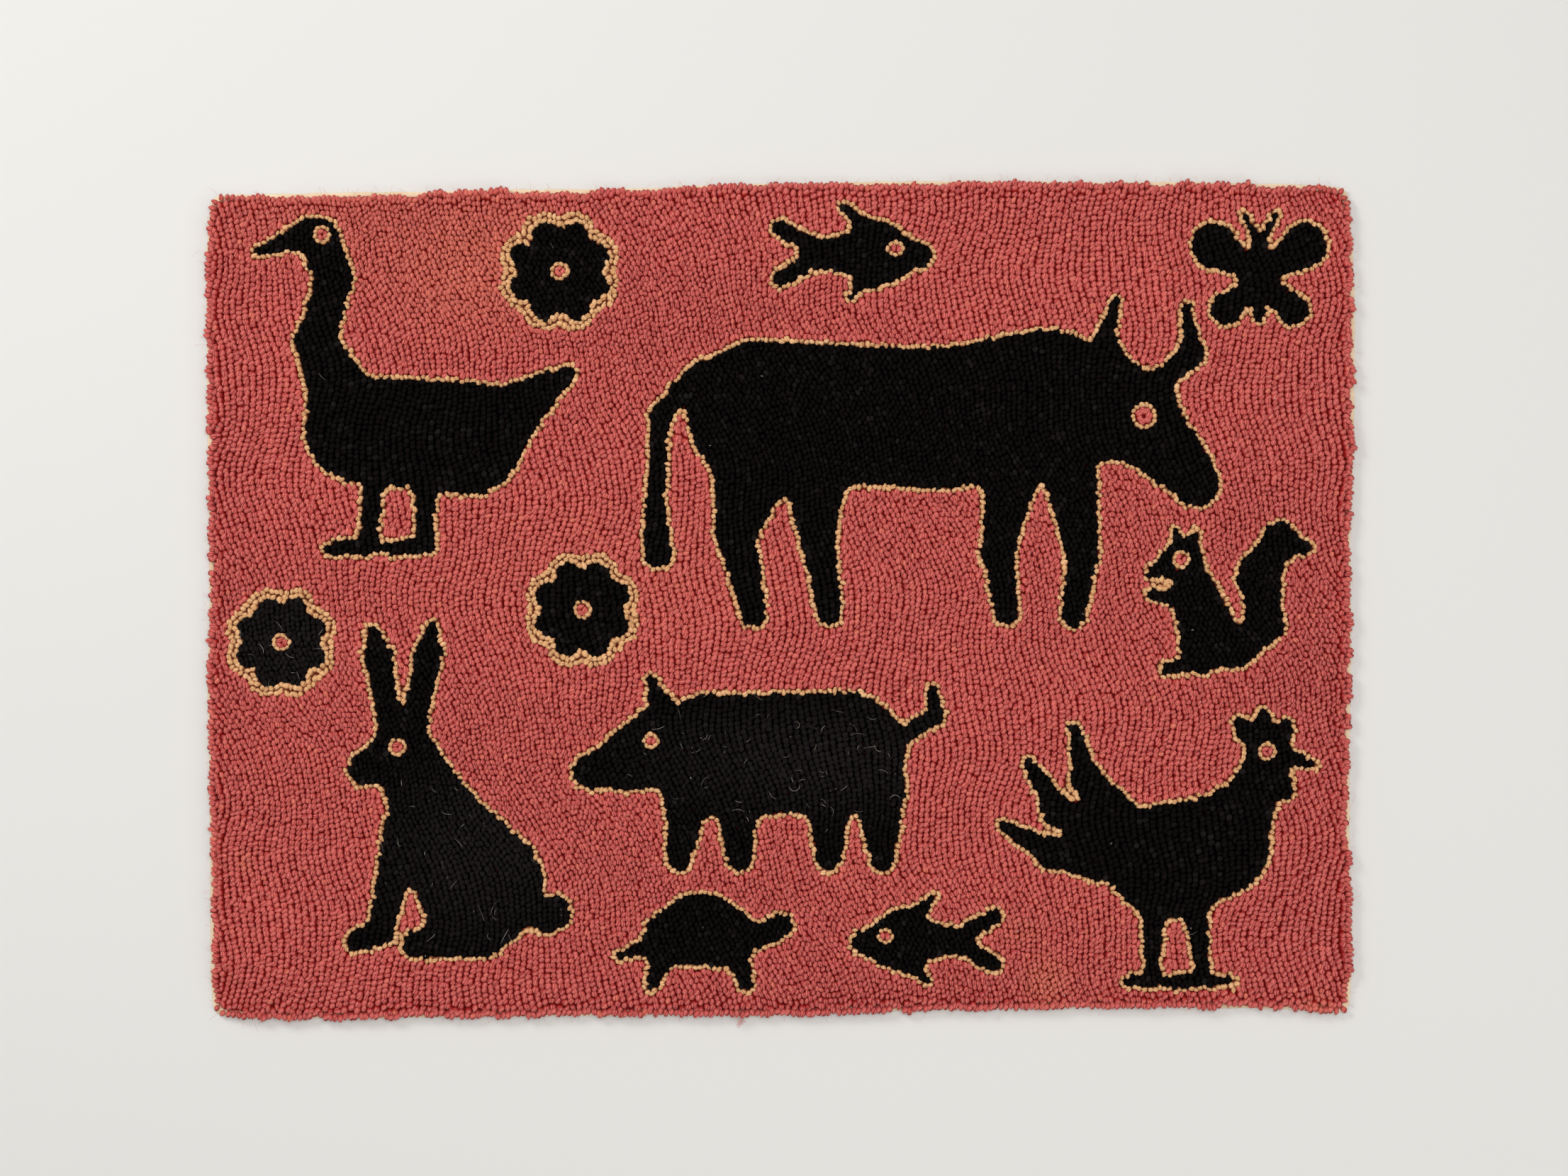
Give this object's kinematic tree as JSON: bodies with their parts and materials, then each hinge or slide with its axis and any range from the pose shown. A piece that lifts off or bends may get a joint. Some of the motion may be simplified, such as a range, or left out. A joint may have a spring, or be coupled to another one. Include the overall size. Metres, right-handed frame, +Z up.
{
  "type": "hooked rug",
  "caption": "Rectangular hand-hooked rug lying flat, with a low looped pile on a cotton foundation cloth whose edge is turned under as a hem.",
  "frame": {"origin": "middle of the rug's outline, on the surface that it lies on", "axes": "+X along the long side, +Y towards the back edge, +Z up out of the pile"},
  "size_m": [0.9198, 0.6714, 0.01],
  "materials": {
    "cotton_cloth": "cream plain-woven cotton, soft and matt, a little soiled along the fold",
    "wool_yarn": "matt plied wool yarn hooked in loops, mostly coral red, with black figures outlined in gold"
  },
  "bodies": {
    "root": {"foundation": "cotton_cloth", "pile": "wool_yarn"}
  },
  "joints": []
}
